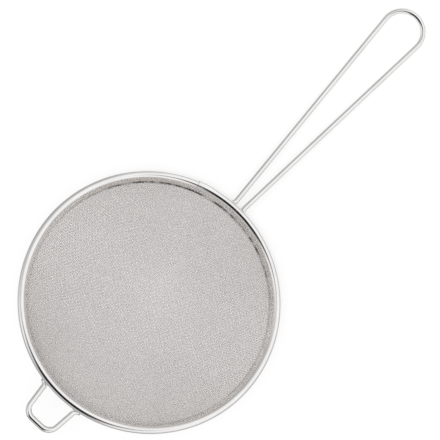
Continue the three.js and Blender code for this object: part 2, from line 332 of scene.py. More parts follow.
class NodeCraft:
    """Short cuts for building node trees."""

    def __init__(self, tree: bpy.types.NodeTree) -> None:
        """Keeps the tree that nodes are added to."""
        self.tree = tree

    @classmethod
    def clean(cls, owner: bpy.types.Material | bpy.types.World) -> "NodeCraft":
        """Gives a material or a world an empty node tree.

        Args:
            owner: The material or world.

        Returns:
            The helper of its tree.
        """
        owner.use_nodes = True
        owner.node_tree.nodes.clear()
        return cls(owner.node_tree)

    def add(self, kind: str, inputs: Inputs | None = None, **settings: object) -> bpy.types.Node:
        """Adds a node, sets its own options and then its inputs.

        Args:
            kind: The node's type name.
            inputs: Values or outputs for its input sockets, by their names or numbers.
            settings: Values for the node's options.

        Returns:
            The new node.
        """
        node = self.tree.nodes.new(kind)
        for option, value in settings.items():
            setattr(node, option, value)
        for socket, value in (inputs or {}).items():
            self.put(node.inputs[socket], value)
        return node

    def put(self, socket: bpy.types.NodeSocket, value: object) -> None:
        """Links an output to a socket, or sets the socket to a plain value.

        Args:
            socket: The input socket.
            value: An output socket, or a number, colour or vector.
        """
        if isinstance(value, bpy.types.NodeSocket):
            self.tree.links.new(value, socket)
        else:
            socket.default_value = value

    def math(self, operation: str, first: object, second: object = 0.0) -> bpy.types.NodeSocket:
        """Adds one sum of one or two values or outputs."""
        return self.add("ShaderNodeMath", {0: first, 1: second}, operation=operation).outputs[0]

    def product(self, *factors: object) -> bpy.types.NodeSocket:
        """Multiplies two or more values or outputs."""
        return reduce(partial(self.math, "MULTIPLY"), factors)

    def measure(self, operation: str, *vectors: object) -> bpy.types.NodeSocket:
        """Adds a vector sum that gives a number, such as a length or a dot product."""
        node = self.add("ShaderNodeVectorMath", dict(enumerate(vectors)), operation=operation)
        return node.outputs["Value"]

    def remap(
        self,
        value: object,
        start: object,
        stop: object,
        low: object = 0.0,
        high: object = 1.0,
        soft: bool = False,
    ) -> bpy.types.NodeSocket:
        """Maps a range of values to another.

        Args:
            value: The value or output to map.
            start: Where the range begins.
            stop: Where the range ends.
            low: Result at the beginning.
            high: Result at the end.
            soft: Whether the change eases in and out.

        Returns:
            The mapped value's output.
        """
        inputs = dict(enumerate((value, start, stop, low, high)))
        easing = "SMOOTHSTEP" if soft else "LINEAR"
        return self.add("ShaderNodeMapRange", inputs, interpolation_type=easing).outputs[0]

    def mix(self, factor: object, first: object, second: object) -> bpy.types.NodeSocket:
        """Mixes two colours, with the factor as the second one's share."""
        return self.add("ShaderNodeMix", {0: factor, 6: first, 7: second}, data_type="RGBA").outputs[2]

    def noise(
        self, vector: object, scale: object, detail: float = 2.0, roughness: float = 0.5
    ) -> bpy.types.NodeSocket:
        """Adds a noise pattern.

        Args:
            vector: Where the pattern is read.
            scale: Its scale.
            detail: How many finer layers it has.
            roughness: How strong the finer layers are.

        Returns:
            The pattern's value.
        """
        inputs = {"Vector": vector, "Scale": scale, "Detail": detail, "Roughness": roughness}
        return self.add("ShaderNodeTexNoise", inputs).outputs[0]


def rgba(colour: Colour) -> tuple[float, float, float, float]:
    """Adds full opacity to a colour."""
    return (*colour, 1.0)


@dataclass(frozen=True)
class Effect:
    """A node group that the steel finishes share, built at its first use."""

    name: str
    lay: Callable[[NodeCraft, bpy.types.NodeOutputs], Sequence[bpy.types.NodeSocket]]
    outputs: tuple[str, ...]
    inputs: dict[str, str] = field(default_factory=dict)

    def tree(self) -> bpy.types.NodeTree:
        """Finds the group, or builds it with a Vector input for the place and the effect's own inputs.

        Returns:
            The node group.
        """
        if self.name in bpy.data.node_groups:
            return bpy.data.node_groups[self.name]
        tree = bpy.data.node_groups.new(self.name, "ShaderNodeTree")
        for label, kind in {"Vector": "NodeSocketVector", **self.inputs}.items():
            tree.interface.new_socket(label, in_out="INPUT", socket_type=kind)
        for label in self.outputs:
            tree.interface.new_socket(label, in_out="OUTPUT", socket_type="NodeSocketFloat")
        craft = NodeCraft(tree)
        results = self.lay(craft, craft.add("NodeGroupInput").outputs)
        craft.add("NodeGroupOutput", dict(zip(self.outputs, results)))
        return tree

    def use(self, craft: NodeCraft, **inputs: object) -> bpy.types.NodeOutputs:
        """Places the group in a node tree with the given inputs and hands out its outputs."""
        return craft.add("ShaderNodeGroup", inputs, node_tree=self.tree()).outputs


@dataclass(frozen=True)
class CreviceShade:
    """Where painted shade darkens the strip's inner edge, in the shadow where it stands off the cloth,
    measured from its end and from the handle.
    """

    starts: float = 2.4 * MM
    full: float = 1.2 * MM
    middle: float = math.radians(13)
    full_within: float = math.radians(35)
    faint_beyond: float = math.radians(65)
    faint_share: float = 0.15
    patch_scale: float = 130.0
    patch_range: tuple[float, float] = (0.42, 0.58)
    between_patches: float = 0.2


@dataclass(frozen=True)
class PaintedWeaveLight:
    """Where the cloth gets a painted highlight on its wires' crowns and painted shade where they cross, by
    distance from its middle, and where painted shade darkens it in patches next to and under the strip.
    """

    shaded_within: float = 0.1 * MM
    highlit_beyond: float = 0.36 * MM
    unshaded_below: float = math.radians(62.9)
    shaded_above: float = math.radians(64.4)
    patch_scale: float = 45.0
    patch_range: tuple[float, float] = (0.35, 0.65)
    patch_shares: tuple[float, float] = (0.15, 0.8)


def lay_tone_drift(craft: NodeCraft, given: bpy.types.NodeOutputs) -> list[bpy.types.NodeSocket]:
    """Lays slow changes of tone over the metal, with a finer cloudiness in them, between 0 and 1."""
    slow = craft.noise(given["Vector"], given["Scale"], detail=3.0, roughness=0.6)
    return [craft.remap(slow, 0.3, 0.7, soft=True)]


def lay_fine_lines(craft: NodeCraft, given: bpy.types.NodeOutputs) -> list[bpy.types.NodeSocket]:
    """Lays the height of fine parallel lines, as drawing, rolling or polishing leaves on steel."""
    stretched = craft.add(
        "ShaderNodeVectorMath", {0: given["Vector"], 1: given["Stretch"]}, operation="MULTIPLY"
    )
    return [craft.noise(stretched.outputs[0], 1.0, detail=4.0, roughness=0.65)]


def lay_handling_marks(craft: NodeCraft, given: bpy.types.NodeOutputs) -> list[bpy.types.NodeSocket]:
    """Lays faint smudges and small scuffs from use.

    Args:
        craft: Helper of the group's tree.
        given: The group's inputs.

    Returns:
        A mask of the marks.
    """
    scuffs_per_smudge = 9.0
    smudge = craft.noise(given["Vector"], given["Scale"])
    scuff = craft.noise(given["Vector"], craft.product(given["Scale"], scuffs_per_smudge), detail=1.0)
    soft = craft.remap(smudge, 0.5, 0.75, soft=True)
    small = craft.remap(scuff, 0.62, 0.72, 0.0, 0.6)
    return [craft.math("MAXIMUM", soft, small)]


def lay_bowl_place(craft: NodeCraft, given: bpy.types.NodeOutputs) -> list[bpy.types.NodeSocket]:
    """Lays where a point lies in the bowl's own frame.

    Args:
        craft: Helper of the group's tree.
        given: The group's inputs.

    Returns:
        The distance from the bowl's axis, the angle around it and the height.
    """
    place = {"Vector": given["Vector"], "Location": REST.offset, "Rotation": (0, REST.tilt, 0)}
    centred = craft.add("ShaderNodeMapping", place, vector_type="TEXTURE")
    part = craft.add("ShaderNodeSeparateXYZ", {0: centred.outputs[0]}).outputs
    flat = craft.add("ShaderNodeCombineXYZ", {"X": part["X"], "Y": part["Y"]})
    across = craft.measure("LENGTH", flat.outputs[0])
    return [across, craft.math("ARCTAN2", part["Y"], part["X"]), part["Z"]]


def lay_painted_crevice_shade(craft: NodeCraft, given: bpy.types.NodeOutputs) -> list[bpy.types.NodeSocket]:
    """Lays painted shade in places along the strip's inner edge, where it leaves the cloth and the gap under
    it lies in shadow.

    Args:
        craft: Helper of the group's tree.
        given: The group's inputs.

    Returns:
        A factor between 0 and 1.
    """
    gap_shade = CreviceShade()
    place = BOWL_PLACE.use(craft, Vector=given["Vector"])
    cos, sin = math.cos(PROFILE.wall_angle), math.sin(PROFILE.wall_angle)
    from_bead = craft.math("SUBTRACT", place["Across"], PROFILE.bead_centre_radius)
    section = craft.add("ShaderNodeCombineXYZ", {"X": from_bead, "Z": place["Height"]}).outputs[0]
    along = craft.measure("DOT_PRODUCT", section, (-cos, 0.0, -sin))
    outward = craft.measure("DOT_PRODUCT", section, (sin, 0.0, -cos))
    edge = craft.remap(along, PROFILE.leg_end - gap_shade.starts, PROFILE.leg_end - gap_shade.full, soft=True)
    inside = craft.remap(outward, 0.0, -PROFILE.leg_offset / 2, soft=True)
    turn = craft.math("ABSOLUTE", craft.math("SUBTRACT", place["Turn"], gap_shade.middle))
    by_handle = craft.remap(turn, gap_shade.faint_beyond, gap_shade.full_within, gap_shade.faint_share, 1.0, soft=True)
    cloud = craft.noise(given["Vector"], gap_shade.patch_scale, detail=3.0)
    patches = craft.remap(cloud, *gap_shade.patch_range, gap_shade.between_patches, 1.0)
    # painted shade: darkest at the inner leg's end, near the handle and in patches
    dark = craft.product(edge, inside, patches, by_handle, given["Darkness"])
    return [craft.math("SUBTRACT", 1.0, dark)]


def lay_painted_weave_light(craft: NodeCraft, given: bpy.types.NodeOutputs) -> list[bpy.types.NodeSocket]:
    """Lays painted light on the cloth's wires: a painted highlight on their crowns, painted shade where they
    cross and, in patches, at the rim.

    Args:
        craft: Helper of the group's tree.
        given: The group's inputs.

    Returns:
        A factor between 0 and 1.
    """
    weave_light = PaintedWeaveLight()
    place = {"Vector": given["Vector"], "Location": (0, 0, -REST.ball_radius)}
    from_centre = craft.add("ShaderNodeMapping", place).outputs[0]
    reach = craft.measure("LENGTH", from_centre)
    depth = craft.math("ABSOLUTE", craft.math("SUBTRACT", reach, PROFILE.cap_radius))
    # painted highlight on the crowns, painted shade where the wires cross
    crown = craft.remap(depth, weave_light.shaded_within, weave_light.highlit_beyond, given["Recess"], 1.0, soft=True)
    down = (-math.sin(REST.tilt), 0.0, -math.cos(REST.tilt))
    steepness = craft.math("DIVIDE", craft.measure("DOT_PRODUCT", from_centre, down), reach)
    # painted shade in patches where the cloth runs in under the strip
    covered = craft.remap(steepness, math.cos(weave_light.unshaded_below), math.cos(weave_light.shaded_above), soft=True)
    cloud = craft.noise(given["Vector"], weave_light.patch_scale, detail=3.0)
    patches = craft.remap(cloud, *weave_light.patch_range, *weave_light.patch_shares)
    # share left unshaded by that painted shade
    clean = craft.math("SUBTRACT", 1.0, craft.product(covered, patches))
    return [craft.product(crown, clean)]


TONE_DRIFT = Effect("tone_drift", lay_tone_drift, ("Factor",), {"Scale": "NodeSocketFloat"})
FINE_LINES = Effect("fine_lines", lay_fine_lines, ("Height",), {"Stretch": "NodeSocketVector"})
HANDLING_MARKS = Effect("handling_marks", lay_handling_marks, ("Mask",), {"Scale": "NodeSocketFloat"})
BOWL_PLACE = Effect("bowl_place", lay_bowl_place, ("Across", "Turn", "Height"))
# painted shade along the strip's inner edge
PAINTED_CREVICE_SHADE = Effect("painted_crevice_shade", lay_painted_crevice_shade, ("Factor",), {"Darkness": "NodeSocketFloat"})
# painted highlight on the cloth's crowns, painted shade where its wires cross and under the strip
PAINTED_WEAVE_LIGHT = Effect("painted_weave_light", lay_painted_weave_light, ("Factor",), {"Recess": "NodeSocketFloat"})


@dataclass(frozen=True)
class SteelFinish:
    """A bare steel surface and its fine detail."""

    name: str
    slot: Slot
    colour: Colour
    shade: Colour
    roughness: float
    marked_roughness: float
    lines: Lines
    metallic: float = 1.0
    # share of colour kept where the cloth's wires cross, under painted shade; 1 paints none
    recess: float = 1.0
    # strength of the painted shade along the strip's inner edge; 0 paints none
    crevice: float = 0.0
    line_depth: float = 0.003 * MM
    line_strength: float = 0.25
    rim_stretch: tuple[float, float, float] = (6000.0, 14.0, 6000.0)
    wire_stretch: tuple[float, float, float] = (90.0, 4000.0, 4000.0)
    drift_scale: float = 40.0
    mark_scale: float = 120.0

    def material(self) -> bpy.types.Material:
        """Builds the finish's material, or returns it if it is there already.

        Returns:
            The material.
        """
        if self.name in bpy.data.materials:
            return bpy.data.materials[self.name]
        material = bpy.data.materials.new(self.name)
        craft = NodeCraft.clean(material)
        place = craft.add("ShaderNodeTexCoord").outputs["Object"]
        drift = TONE_DRIFT.use(craft, Vector=place, Scale=self.drift_scale)
        tone = craft.mix(drift["Factor"], rgba(self.colour), rgba(self.shade))
        # painted highlight and painted shade over the weave
        if self.recess < 1:
            weave = PAINTED_WEAVE_LIGHT.use(craft, Vector=place, Recess=self.recess)
            tone = craft.mix(weave["Factor"], BLACK, tone)
        # painted shade along the strip's inner edge
        if self.crevice > 0:
            crevice = PAINTED_CREVICE_SHADE.use(craft, Vector=place, Darkness=self.crevice)
            tone = craft.mix(crevice["Factor"], BLACK, tone)
        marks = HANDLING_MARKS.use(craft, Vector=place, Scale=self.mark_scale)
        roughness = craft.remap(marks["Mask"], 0.0, 1.0, self.roughness, self.marked_roughness)
        looks = {"Base Color": tone, "Metallic": self.metallic, "Roughness": roughness}
        steel = craft.add("ShaderNodeBsdfPrincipled", looks)
        if self.lines is not Lines.NONE:
            craft.put(steel.inputs["Normal"], self._line_bump(craft, place))
        craft.add("ShaderNodeOutputMaterial", {"Surface": steel.outputs["BSDF"]})
        return material

    def _line_bump(self, craft: NodeCraft, place: bpy.types.NodeSocket) -> bpy.types.NodeSocket:
        """Adds the fine lines as a bump.

        Args:
            craft: Helper of the material's node tree.
            place: Object coordinates.

        Returns:
            The bumped normal.
        """
        stretch = self.wire_stretch
        if self.lines is Lines.AROUND_RIM:
            part = BOWL_PLACE.use(craft, Vector=place)
            rolled = {"X": part["Across"], "Y": part["Turn"], "Z": part["Height"]}
            place = craft.add("ShaderNodeCombineXYZ", rolled).outputs[0]
            stretch = self.rim_stretch
        lines = FINE_LINES.use(craft, Vector=place, Stretch=stretch)
        inputs = {"Strength": self.line_strength, "Distance": self.line_depth, "Height": lines["Height"]}
        return craft.add("ShaderNodeBump", inputs).outputs["Normal"]

    def dress(self, piece: bpy.types.Object) -> None:
        """Gives a piece this finish in place of any other.

        Args:
            piece: The mesh to dress.
        """
        piece.data.materials.clear()
        piece.data.materials.append(self.material())


PROFILE = RimProfile()
REST = RestPose(PROFILE)

# The warp and the weft are lit and shaded copies of one steel: the weft's darker colour is painted shade for
# the light that its wires catch less of.
LIT_WARP_STEEL = SteelFinish(
    name="woven_warp_steel_lit",
    slot=Slot.WIRE_CLOTH,
    colour=(1.0, 0.95, 0.91),
    shade=(0.97, 0.92, 0.88),
    roughness=0.34,
    marked_roughness=0.4,
    lines=Lines.NONE,
    metallic=0.2,
    # strength of the weave's painted shade
    recess=0.85,
)
# darker copy: painted shade
SHADED_WEFT_STEEL = replace(
    LIT_WARP_STEEL,
    name="woven_weft_steel_shaded",
    colour=(0.80, 0.745, 0.705),
    shade=(0.74, 0.69, 0.65),
)
CLOTH_STEEL = {Family.WARP: LIT_WARP_STEEL, Family.WEFT: SHADED_WEFT_STEEL}
STRIP_STEEL = SteelFinish(
    name="rolled_strip_steel",
    slot=Slot.RIM_STRIP,
    colour=(0.92, 0.91, 0.90),
    shade=(0.85, 0.84, 0.83),
    roughness=0.1,
    marked_roughness=0.22,
    lines=Lines.AROUND_RIM,
    # strength of the painted shade along the inner edge
    crevice=0.85,
)
WIRE_STEEL = SteelFinish(
    name="polished_wire_steel",
    slot=Slot.POLISHED_WIRE,
    colour=(0.9, 0.9, 0.89),
    shade=(0.84, 0.84, 0.83),
    roughness=0.1,
    marked_roughness=0.2,
    lines=Lines.ALONG_WIRE,
)
HOOP_STEEL = SteelFinish(
    name="drawn_hoop_steel",
    slot=Slot.DRAWN_WIRE,
    colour=(0.72, 0.72, 0.71),
    shade=(0.62, 0.62, 0.61),
    roughness=0.3,
    marked_roughness=0.45,
    lines=Lines.AROUND_RIM,
)
WELD_STEEL = SteelFinish(
    name="weld_bead_steel",
    slot=Slot.WELD_METAL,
    colour=(0.62, 0.6, 0.58),
    shade=(0.44, 0.38, 0.32),
    roughness=0.35,
    marked_roughness=0.55,
    lines=Lines.NONE,
    drift_scale=500.0,
    mark_scale=900.0,
)


@dataclass
class WireCloth:
    """The bowl's woven cloth: two families of wires that pass over and under each other on a ball."""

    pitch: float = 1.69 * MM
    wire_radius: float = 0.21 * MM
    wave: float = 0.21 * MM
    warp_azimuth: float = math.radians(8.6)
    weft_azimuth: float = math.radians(-74.9)
    edge_angle: float = PROFILE.wall_angle + math.radians(2.2)
    sides: int = 6
    bundles: int = 2
    net: np.ndarray = field(init=False, repr=False)

    def lay_net(self) -> None:
        """Finds all crossings as unit vectors from the ball's centre.

        The two wires through the bowl's bottom are great circles. Every other crossing completes a rhombus
        with its three neighbours, because a pressed cloth shears but its wires don't stretch.
        """
        step = self.pitch / PROFILE.cap_radius
        reach = math.ceil(self.edge_angle / step) + 1
        count = 2 * reach + 1
        self.net = np.full((count, count, 3), np.nan)
        angles = (np.arange(count) - reach) * step
        for azimuth, line in ((self.warp_azimuth, np.s_[:, reach]), (self.weft_azimuth, np.s_[reach, :])):
            heading = np.array([math.cos(azimuth), math.sin(azimuth), 0.0])
            down = np.array([0.0, 0.0, -1.0])
            self.net[line] = np.outer(np.sin(angles), heading) + np.outer(np.cos(angles), down)
        for warp_way in (1, -1):
            for weft_way in (1, -1):
                self._fill_quarter(reach, warp_way, weft_way)

    def _fill_quarter(self, reach: int, warp_way: int, weft_way: int) -> None:
        """Completes the rhombuses in one quarter of the net.

        Args:
            reach: Number of crossings from the bottom to the net's edge.
            warp_way: Direction along the warp, 1 or -1.
            weft_way: Direction along the weft, 1 or -1.
        """
        for i in range(1, reach + 1):
            for j in range(1, reach + 1):
                here = (reach + i * warp_way, reach + j * weft_way)
                first = self.net[here[0] - warp_way, here[1]]
                second = self.net[here[0], here[1] - weft_way]
                corner = self.net[here[0] - warp_way, here[1] - weft_way]
                middle = first + second
                middle /= np.linalg.norm(middle)
                self.net[here] = 2 * np.dot(corner, middle) * middle - corner

    def wires(self, family: Family) -> list[np.ndarray]:
        """Follows each wire of a family over and under the wires that it crosses.

        Args:
            family: Warp or weft.

        Returns:
            For each wire, its points in the bowl's frame.
        """
        net = self.net if family is Family.WARP else self.net.transpose(1, 0, 2)
        side = 1 if family is Family.WARP else -1
        lowest = -math.cos(self.edge_angle)
        found = []
        for row in range(net.shape[1]):
            line = net[:, row]
            inside = np.flatnonzero(line[:, 2] < lowest)
            if len(inside) < 3:
                continue
            kept = np.arange(max(inside[0] - 1, 0), min(inside[-1] + 2, len(line)))
            found.append(self._waved(line[kept], side * (-1.0) ** (kept + row)))
        return found

    def _waved(self, line: np.ndarray, signs: np.ndarray) -> np.ndarray:
        """Turns a row of crossings into a wire that is flat over each crossing and slants between them.

        Args:
            line: The crossings as unit vectors.
            signs: For each crossing 1 where the wire lies inside the bowl and -1 where it lies outside.

        Returns:
            The wire's points.
        """
        quarter = 0.25
        before = line[1:-1] * (1 - quarter) + line[:-2] * quarter
        after = line[1:-1] * (1 - quarter) + line[2:] * quarter
        points = np.stack([before, after], axis=1).reshape(-1, 3)
        points /= np.linalg.norm(points, axis=1)[:, None]
        radii = PROFILE.cap_radius - np.repeat(signs[1:-1], 2) * self.wave
        return points * radii[:, None] + np.array([0.0, 0.0, PROFILE.cap_centre_height])

    def build(self) -> dict[Family, list[bpy.types.Object]]:
        """Models the cloth as bundles of wires.

        Returns:
            The finished pieces of each family.
        """
        self.lay_net()
        pieces: dict[Family, list[bpy.types.Object]] = {family: [] for family in Family}
        for family in Family:
            wires = self.wires(family)
            cuts = [number * len(wires) // self.bundles for number in range(self.bundles + 1)]
            for number, (first, last) in enumerate(zip(cuts, cuts[1:]), start=1):
                piece = self._bundle(f"cloth_{family.value}_{number}", wires[first:last])
                REST.lay_down(piece)
                pieces[family].append(piece)
        return pieces

    def _bundle(self, name: str, wires: list[np.ndarray]) -> bpy.types.Object:
        """Models some wires as round tubes in one mesh, each with its own strip of the texture map.

        Args:
            name: The piece's name.
            wires: The wires' points.

        Returns:
            The new object.
        """
        vertices: list[np.ndarray] = []
        faces: list[tuple[int, ...]] = []
        places: list[tuple[float, float]] = []
        longest = max(len(points) for points in wires)
        corners = ((0, 0), (0, 1), (1, 1), (1, 0))
        start = 0
        for number, points in enumerate(wires):
            vertices.append(self._tube(points))
            for ring in range(len(points) - 1):
                for side in range(self.sides):
                    near = start + ring * self.sides
                    far = near + self.sides
                    other = (side + 1) % self.sides
                    faces.append((near + side, near + other, far + other, far + side))
                    for ahead, round_on in corners:
                        across = number + (side + round_on) / (self.sides + 1)
                        places.append(((ring + ahead) / longest, across / len(wires)))
            for ring, order in ((0, -1), (len(points) - 1, 1)):
                cap = [start + ring * self.sides + side for side in range(self.sides)][::order]
                faces.append(tuple(cap))
                places.extend([(ring / longest, number / len(wires))] * self.sides)
            start += len(points) * self.sides
        mesh = bpy.data.meshes.new(name)
        mesh.from_pydata(np.concatenate(vertices).tolist(), [], faces)
        mesh.uv_layers.new(name="OFBake").data.foreach_set("uv", np.array(places).ravel())
        mesh.shade_smooth()
        piece = bpy.data.objects.new(name, mesh)
        bpy.context.scene.collection.objects.link(piece)
        return piece

    def _tube(self, points: np.ndarray) -> np.ndarray:
        """Places round sections along a wire.

        Args:
            points: The wire's points.

        Returns:
            The sections' corners in order.
        """
        ahead = np.gradient(points, axis=0)
        ahead /= np.linalg.norm(ahead, axis=1)[:, None]
        up = np.array([0.0, 0.0, PROFILE.cap_centre_height]) - points
        across = np.cross(ahead, up)
        across /= np.linalg.norm(across, axis=1)[:, None]
        up = np.cross(across, ahead)
        turn = (np.arange(self.sides) + 0.5) * 2 * np.pi / self.sides
        ring = across[:, None] * np.cos(turn)[None, :, None] + up[:, None] * np.sin(turn)[None, :, None]
        return (points[:, None] + self.wire_radius * ring).reshape(-1, 3)


@dataclass
class RimStrip:
    """The steel strip that is rolled round the hoop wire and folded down on both sides of the cloth."""

    seam_azimuth: float = math.radians(20.5)
    seam_gap: float = math.radians(0.15)
    step_run: float = math.radians(3.0)
    step_ease: float = math.radians(9.0)
    step_height: float = 0.5 * MM
    section_points: int = 40
    steps: int = 360
    edge_crease: float = math.radians(50)

    def build(self) -> bpy.types.Object:
        """Models the strip.

        Returns:
            The finished piece.
        """
        piece = self._section()
        bpy.ops.mesh.select_all(action="SELECT")
        Bench.spin(self.seam_gap - 2 * math.pi, Vector((0, 0, 0)), self.steps)
        bpy.ops.mesh.select_all(action="SELECT")
        bpy.ops.mesh.normals_make_consistent(inside=False)
        bpy.ops.object.mode_set(mode="OBJECT")
        self._raise_end(piece)
        wall = piece.modifiers.new("wall", "SOLIDIFY")
        wall.thickness = PROFILE.strip_thickness
        wall.offset = 0.0
        Bench.apply(piece, wall)
        bpy.ops.object.shade_smooth_by_angle(angle=self.edge_crease)
        REST.lay_down(piece)
        return piece

    def _section(self) -> bpy.types.Object:
        """Draws the strip's folded section at the seam: a circle opened at its foot, with two legs.

        Returns:
            The object, in edit mode.
        """
        azimuth = self.seam_azimuth
        mid_radius = PROFILE.bead_radius - PROFILE.strip_thickness / 2
        neck = math.sqrt(mid_radius**2 - PROFILE.leg_offset**2)
        centre = PROFILE.place(azimuth, 0, 0)
        wall = PROFILE.place(azimuth, 1, 0) - centre
        upright = (math.pi / 2, 0, azimuth)
        piece = Bench.start_ring("rim_strip", mid_radius, self.section_points, centre, upright)
        Bench.select_where(piece, lambda co: (co - centre).dot(wall) > neck)
        bpy.ops.mesh.delete(type="VERT")
        for outward in (PROFILE.leg_offset, -PROFILE.leg_offset):
            leg_top = PROFILE.place(azimuth, neck + PROFILE.fit_gap, outward)
            self._draw_to(piece, leg_top)
            Bench.extrude(PROFILE.place(azimuth, PROFILE.leg_end, outward) - leg_top)
        return piece

    @staticmethod
    def _draw_to(piece: bpy.types.Object, target: Vector) -> None:
        """Selects the section's open end that is nearest to a point and draws an edge from it to there.

        Args:
            piece: The object in edit mode.
            target: Where the edge ends.
        """
        shape = bmesh.from_edit_mesh(piece.data)
        ends = [vertex.co.copy() for vertex in shape.verts if len(vertex.link_edges) == 1]
        nearest = min(ends, key=lambda end: (end - target).length)
        Bench.select_where(piece, lambda co: (co - nearest).length < TINY)
        Bench.extrude(target - nearest)

    def _raise_end(self, piece: bpy.types.Object) -> None:
        """Lifts the outside of the strip's first end, so that it stands a little proud of its other end.

        Args:
            piece: The strip's middle surface.
        """
        group = piece.vertex_groups.new(name="raised_end")
        cos, sin = math.cos(PROFILE.wall_angle), math.sin(PROFILE.wall_angle)
        for vertex in piece.data.vertices:
            run = self.seam_azimuth - math.atan2(vertex.co.y, vertex.co.x)
            near = 1 - (run - self.step_run) / self.step_ease
            outward = (vertex.co.xy.length - PROFILE.bead_centre_radius) * sin - vertex.co.z * cos
            outside = 0.5 + outward / (2 * PROFILE.leg_offset)
            if run > -TINY and near > 0 and outside > 0:
                group.add([vertex.index], self._eased(near) * self._eased(outside), "REPLACE")
        step = piece.modifiers.new("raised_end", "DISPLACE")
        step.vertex_group = group.name
        step.direction = "NORMAL"
        step.mid_level = 0.0
        step.strength = self.step_height
        Bench.apply(piece, step)

    @staticmethod
    def _eased(share: float) -> float:
        """Turns a share into one that rises softly from 0 to 1."""
        kept = min(share, 1.0)
        return kept * kept * (3 - 2 * kept)


@dataclass
class BentWire:
    """A wire with two feet along the rim, two legs, and a round or flat-ended bow between them."""

    name: str
    diameter: float
    foot_bend_radius: float
    root_spacing: float
    left_foot_angle: float
    right_foot_angle: float
    corner_reach: float
    corner_radius: float
    corner_spacing: float = 0.0
    azimuth: float = 0.0
    end_bend: bool = False
    sides: int = 24
    end_bend_radius: float = 15 * MM
    end_bend_steps: int = 6
    foot_bend_steps: int = 12
    corner_steps: int = 24
    cut_round: float = 1.2 * MM
    foot_step: float = 1.8 * MM
    edge_crease: float = math.radians(45)

    def __post_init__(self) -> None:
        """Works out the wire's plan from its sizes."""
        along, outward = PROFILE.groove(self.diameter / 2)
        self.foot_radius, self.height = PROFILE.point(along, outward)
        reach = self.foot_radius + self.foot_bend_radius
        root = Vector((reach, self.root_spacing / 2))
        self.corner = Vector((self.corner_reach, self.corner_spacing / 2))
        to_corner = self.corner - root
        self.leg_angle = math.atan2(to_corner.y, to_corner.x)
        self.leg_angle += math.asin(self.corner_radius / to_corner.length)
        heading = Vector((math.cos(self.leg_angle), math.sin(self.leg_angle)))
        side = Vector((-heading.y, heading.x))
        bend_line = root + side * self.foot_bend_radius
        along_line = bend_line.dot(heading)
        slide = math.sqrt(along_line**2 - bend_line.length_squared + reach**2) - along_line
        self.bend_centre = bend_line + heading * slide
        self.foot_start = math.atan2(self.bend_centre.y, self.bend_centre.x)
        self.leg_start = self.bend_centre - side * self.foot_bend_radius
        self.leg_stop = self.corner + side * self.corner_radius

    def build(self) -> bpy.types.Object:
        """Sweeps the wire from its left foot to its right one.

        Returns:
            The finished piece.
        """
        foot = Vector((math.cos(self.left_foot_angle), math.sin(self.left_foot_angle))) * self.foot_radius
        upright = (math.pi / 2, 0, self.left_foot_angle)
        piece = Bench.start_ring(self.name, self.diameter / 2, self.sides, self._at(foot), upright)
        bend = self.leg_angle - self.foot_start + math.pi / 2
        corner_turn = -(self.leg_angle + math.pi / 2)
        self._sweep_foot(self.foot_start - self.left_foot_angle)
        Bench.spin(bend, self._at(self.bend_centre), self.foot_bend_steps)
        for step in self._leg_steps():
            Bench.extrude(step)
        Bench.spin(corner_turn, self._at(self.corner), self.corner_steps)
        if self.corner_spacing > 0:
            Bench.extrude(Vector((0, -self.corner_spacing, 0)))
        Bench.spin(corner_turn, self._at(self.corner, mirrored=True), self.corner_steps)
        for step in reversed(self._leg_steps()):
            Bench.extrude(Vector((-step.x, step.y, 0)))
        Bench.spin(bend, self._at(self.bend_centre, mirrored=True), self.foot_bend_steps)
        self._sweep_foot(self.foot_start - self.right_foot_angle)
        bpy.ops.mesh.select_all(action="SELECT")
        bpy.ops.mesh.remove_doubles(threshold=TINY)
        Bench.close_ends(piece, self.cut_round, self.sides)
        if self.end_bend:
            self._turn_up_end(piece)
        Bench.leave_edit(piece, self.edge_crease)
        piece.rotation_euler = (0, 0, self.azimuth)
        bpy.ops.object.transform_apply(location=False, rotation=True, scale=False)
        REST.lay_down(piece)
        return piece

    def _sweep_foot(self, turn: float) -> None:
        """Sweeps a foot along the rim in steps that leave room for the round of its cut end.

        Args:
            turn: The foot's angle around the bowl's axis.
        """
        steps = int(abs(turn) * self.foot_radius / self.foot_step)
        Bench.spin(turn, self._at(Vector((0, 0))), max(2, steps))

    def _at(self, plan: Vector, mirrored: bool = False) -> Vector:
        """Lifts a point of the plan, or its mirror image on the wire's other side, to the wire's height."""
        return Vector((plan.x, -plan.y if mirrored else plan.y, self.height))

    def _bend_stations(self) -> list[float]:
        """Lists where the handle's end turns up, step by step.

        Returns:
            The steps' distances from the bowl's axis.
        """
        start = REST.bend_distance - self.end_bend_radius * math.tan(REST.tilt / 2)
        step = self.end_bend_radius * REST.tilt / self.end_bend_steps
        return [start + step * (number + 0.5) for number in range(self.end_bend_steps)]

    def _leg_steps(self) -> list[Vector]:
        """Splits the leg where its end turns up.

        Returns:
            The leg's straight stretches, as vectors.
        """
        leg = self.leg_stop - self.leg_start
        places = [self.leg_start.x, self.leg_stop.x]
        if self.end_bend:
            places[1:1] = self._bend_stations()
        return [Vector((b - a, (b - a) * leg.y / leg.x, 0)) for a, b in zip(places, places[1:])]

    def _turn_up_end(self, piece: bpy.types.Object) -> None:
        """Turns the handle's end up, so that it lies flat on the table.

        Args:
            piece: The handle in edit mode.
        """
        half_step = self.end_bend_radius * REST.tilt / self.end_bend_steps / 2
        for station in reversed(self._bend_stations()):
            Bench.select_where(piece, lambda co: co.x > station + half_step)
            bpy.ops.transform.rotate(
                value=REST.tilt / self.end_bend_steps,
                orient_axis="Y",
                orient_type="GLOBAL",
                center_override=(station, 0, self.height),
            )


